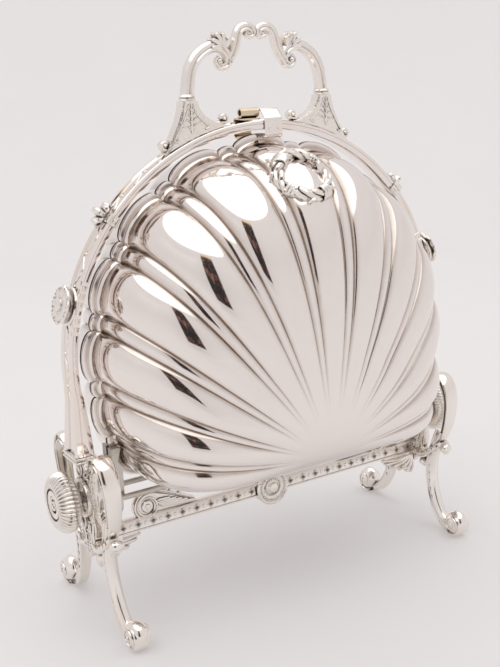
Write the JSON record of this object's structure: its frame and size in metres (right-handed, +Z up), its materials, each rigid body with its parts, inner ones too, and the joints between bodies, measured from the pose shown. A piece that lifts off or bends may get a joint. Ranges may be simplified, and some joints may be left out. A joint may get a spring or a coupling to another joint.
{
  "type": "folding biscuit box",
  "caption": "Folding biscuit box: two fluted shell halves hang in a hoop with a carrying handle and open sideways together on toothed hinges, over a footed stand.",
  "frame": {"origin": "on the floor, at the middle of the four feet", "axes": "+X along the hinges towards the right end frame, -Y towards the front half, +Z up"},
  "size_m": [0.2486, 0.1286, 0.2901],
  "materials": {
    "polished_silver": "polished silver plate with light wear",
    "cast_silver": "cast silver plate, darker in its recesses",
    "gilt_metal": "worn gilt sheet",
    "worn_steel": "bare worked metal"
  },
  "bodies": {
    "stand": {"arch_bow": "polished_silver", "carrying_handle": "cast_silver", "handle_socket_left": "cast_silver", "handle_socket_right": "cast_silver", "arch_ear_left": "cast_silver", "arch_ear_right": "cast_silver", "rosette_left": "cast_silver", "rosette_right": "cast_silver", "end_plate_left": "cast_silver", "end_plate_right": "cast_silver", "leg_front_left": "cast_silver", "leg_front_right": "cast_silver", "leg_rear_left": "cast_silver", "leg_rear_right": "cast_silver", "snail_knob_left": "cast_silver", "snail_knob_right": "cast_silver", "front_pivot_rod": "worn_steel", "rear_pivot_rod": "worn_steel", "stretcher": "cast_silver", "stretcher_scroll_left": "cast_silver", "stretcher_scroll_right": "cast_silver", "stretcher_leaf_left": "cast_silver", "stretcher_leaf_right": "cast_silver", "medallion_front": "cast_silver", "medallion_rear": "cast_silver"},
    "front_half": {"front_shell": "polished_silver", "front_sector_left": "worn_steel", "front_sector_right": "worn_steel", "front_catch": "polished_silver", "wreath": "cast_silver", "front_grille_pin": "worn_steel"},
    "rear_half": {"rear_shell": "polished_silver", "rear_sector_left": "worn_steel", "rear_sector_right": "worn_steel", "rear_catch": "polished_silver", "rear_grille_pin": "worn_steel"},
    "front_flap": {"front_grille": "gilt_metal"},
    "rear_flap": {"rear_grille": "gilt_metal"}
  },
  "joints": [
    {"name": "front_half_swing", "type": "hinge", "parent": "stand", "child": "front_half", "pos_m": [0, -0.008, 0.064], "axis": [1, 0, 0], "range_deg": [0, 90]},
    {"name": "rear_half_swing", "type": "hinge", "parent": "stand", "child": "rear_half", "pos_m": [0, 0.008, 0.064], "axis": [1, 0, 0], "range_deg": [-90, 0]},
    {"name": "front_flap_swing", "type": "hinge", "parent": "front_half", "child": "front_flap", "pos_m": [0, -0.004, 0.071], "axis": [1, 0, 0], "range_deg": [-45, 0]},
    {"name": "rear_flap_swing", "type": "hinge", "parent": "rear_half", "child": "rear_flap", "pos_m": [0, 0.004, 0.071], "axis": [1, 0, 0], "range_deg": [0, 45]}
  ],
  "couplings": [
    {"joint": "rear_half_swing", "follows": "front_half_swing", "ratio": -1},
    {"joint": "front_flap_swing", "follows": "front_half_swing", "ratio": -0.5},
    {"joint": "rear_flap_swing", "follows": "front_half_swing", "ratio": 0.5}
  ]
}
